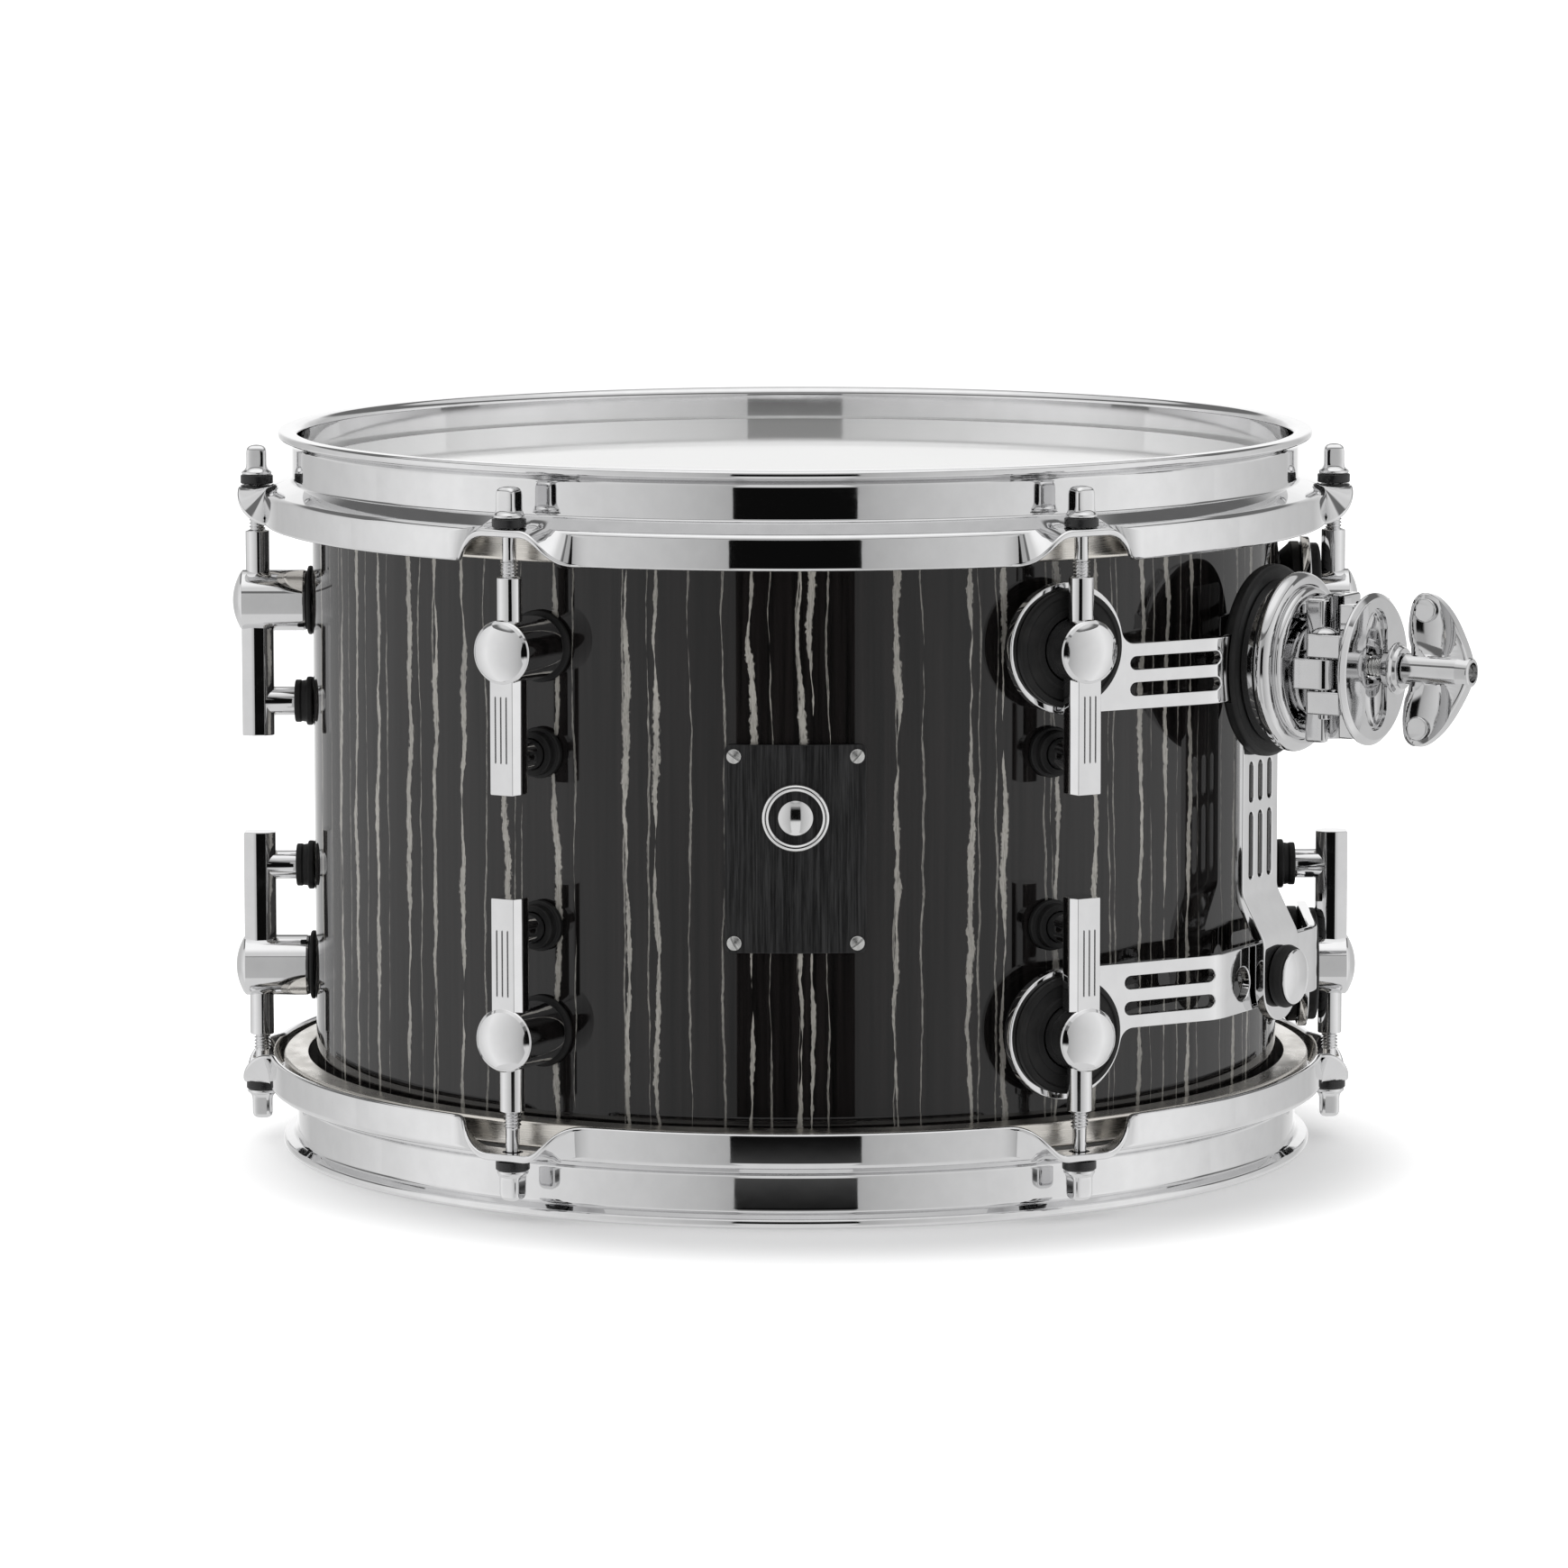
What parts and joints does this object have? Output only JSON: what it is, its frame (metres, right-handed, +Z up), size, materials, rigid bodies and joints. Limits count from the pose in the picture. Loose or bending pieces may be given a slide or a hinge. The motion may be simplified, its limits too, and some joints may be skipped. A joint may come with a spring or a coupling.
{
  "type": "rack tom drum",
  "caption": "Double-headed rack tom drum with flanged hoops, key-rod tensioning and a rubber-isolated side bracket with a hinged clamp.",
  "frame": {"origin": "centre of the batter head's playing face, on the drum's axis", "axes": "+Z up along the drum's axis, out of the batter head; -Y towards the badge; the side mount is 60 degrees from -Y towards +X"},
  "size_m": [0.3853, 0.3354, 0.2266],
  "materials": {
    "shell": "black striped veneer under clear gloss lacquer",
    "head_film": "white coated film",
    "flesh_hoop": "satin",
    "hoop_chrome": "polished",
    "lug_chrome": "polished",
    "rod_chrome": "polished",
    "bracket_chrome": "polished",
    "clamp_chrome": "polished",
    "emblem_chrome": "polished",
    "screw_steel": "satin",
    "badge_plate": "black, brushed",
    "rubber": "satin black"
  },
  "bodies": {
    "drum": {"shell": "shell", "vent_grommet": "hoop_chrome", "batter_head": "head_film", "batter_flesh_hoop": "flesh_hoop", "resonant_head": "head_film", "resonant_flesh_hoop": "flesh_hoop", "batter_hoop": "hoop_chrome", "resonant_hoop": "hoop_chrome", "batter_lug_1": "lug_chrome", "batter_lug_2": "lug_chrome", "batter_lug_3": "lug_chrome", "batter_lug_4": "lug_chrome", "batter_lug_5": "lug_chrome", "batter_lug_6": "lug_chrome", "resonant_lug_1": "lug_chrome", "resonant_lug_2": "lug_chrome", "resonant_lug_3": "lug_chrome", "resonant_lug_4": "lug_chrome", "resonant_lug_5": "lug_chrome", "resonant_lug_6": "lug_chrome", "badge_plate": "badge_plate", "badge_emblem": "emblem_chrome", "badge_screw_1": "screw_steel", "badge_screw_2": "screw_steel", "badge_screw_3": "screw_steel", "badge_screw_4": "screw_steel", "upper_bracket_arm": "bracket_chrome", "lower_bracket_arm": "bracket_chrome", "bracket_strut": "bracket_chrome", "upper_front_isolator": "rubber", "upper_rear_isolator": "rubber", "lower_front_isolator": "rubber", "lower_rear_isolator": "rubber", "tab_grommet": "rubber", "tab_bolt": "bracket_chrome", "mount_pad": "rubber", "mount_cup": "clamp_chrome", "mount_bolt": "screw_steel", "clamp_block": "clamp_chrome", "hinge_pin": "screw_steel", "clamp_bolt": "screw_steel"},
    "batter_rod_1": {"batter_tension_rod_1": "rod_chrome"},
    "batter_rod_2": {"batter_tension_rod_2": "rod_chrome"},
    "batter_rod_3": {"batter_tension_rod_3": "rod_chrome"},
    "batter_rod_4": {"batter_tension_rod_4": "rod_chrome"},
    "batter_rod_5": {"batter_tension_rod_5": "rod_chrome"},
    "batter_rod_6": {"batter_tension_rod_6": "rod_chrome"},
    "resonant_rod_1": {"resonant_tension_rod_1": "rod_chrome"},
    "resonant_rod_2": {"resonant_tension_rod_2": "rod_chrome"},
    "resonant_rod_3": {"resonant_tension_rod_3": "rod_chrome"},
    "resonant_rod_4": {"resonant_tension_rod_4": "rod_chrome"},
    "resonant_rod_5": {"resonant_tension_rod_5": "rod_chrome"},
    "resonant_rod_6": {"resonant_tension_rod_6": "rod_chrome"},
    "jaw": {"clamp_jaw": "clamp_chrome"},
    "washer": {"clamp_washer": "clamp_chrome"},
    "wing_nut": {"wing_nut": "clamp_chrome"}
  },
  "joints": [
    {"name": "batter_rod_1_turn", "type": "hinge", "parent": "drum", "child": "batter_rod_1", "pos_m": [-0.085, 0.14722, -0.0185], "axis": [0, 0, 1], "continuous": true},
    {"name": "batter_rod_2_turn", "type": "hinge", "parent": "drum", "child": "batter_rod_2", "pos_m": [-0.17, 0, -0.0185], "axis": [0, 0, 1], "continuous": true},
    {"name": "batter_rod_3_turn", "type": "hinge", "parent": "drum", "child": "batter_rod_3", "pos_m": [-0.085, -0.14722, -0.0185], "axis": [0, 0, 1], "continuous": true},
    {"name": "batter_rod_4_turn", "type": "hinge", "parent": "drum", "child": "batter_rod_4", "pos_m": [0.085, -0.14722, -0.0185], "axis": [0, 0, 1], "continuous": true},
    {"name": "batter_rod_5_turn", "type": "hinge", "parent": "drum", "child": "batter_rod_5", "pos_m": [0.17, 0, -0.0185], "axis": [0, 0, 1], "continuous": true},
    {"name": "batter_rod_6_turn", "type": "hinge", "parent": "drum", "child": "batter_rod_6", "pos_m": [0.085, 0.14722, -0.0185], "axis": [0, 0, 1], "continuous": true},
    {"name": "resonant_rod_1_turn", "type": "hinge", "parent": "drum", "child": "resonant_rod_1", "pos_m": [-0.085, 0.14722, -0.1885], "axis": [0, 0, -1], "continuous": true},
    {"name": "resonant_rod_2_turn", "type": "hinge", "parent": "drum", "child": "resonant_rod_2", "pos_m": [-0.17, 0, -0.1885], "axis": [0, 0, -1], "continuous": true},
    {"name": "resonant_rod_3_turn", "type": "hinge", "parent": "drum", "child": "resonant_rod_3", "pos_m": [-0.085, -0.14722, -0.1885], "axis": [0, 0, -1], "continuous": true},
    {"name": "resonant_rod_4_turn", "type": "hinge", "parent": "drum", "child": "resonant_rod_4", "pos_m": [0.085, -0.14722, -0.1885], "axis": [0, 0, -1], "continuous": true},
    {"name": "resonant_rod_5_turn", "type": "hinge", "parent": "drum", "child": "resonant_rod_5", "pos_m": [0.17, 0, -0.1885], "axis": [0, 0, -1], "continuous": true},
    {"name": "resonant_rod_6_turn", "type": "hinge", "parent": "drum", "child": "resonant_rod_6", "pos_m": [0.085, 0.14722, -0.1885], "axis": [0, 0, -1], "continuous": true},
    {"name": "washer_slide", "type": "slide", "parent": "drum", "child": "washer", "axis": [0.866, -0.5, 0], "range_m": [0, 0.0062]},
    {"name": "jaw_swing", "type": "hinge", "parent": "drum", "child": "jaw", "pos_m": [0.16007, -0.10916, -0.0565], "axis": [0, 0, -1], "range_deg": [0, 12]},
    {"name": "wing_nut_turn", "type": "hinge", "parent": "washer", "child": "wing_nut", "pos_m": [0.18593, -0.09696, -0.0565], "axis": [0.866, -0.5, 0], "continuous": true}
  ],
  "couplings": [
    {"joint": "jaw_swing", "follows": "washer_slide", "rad_per_m": 33.7}
  ]
}
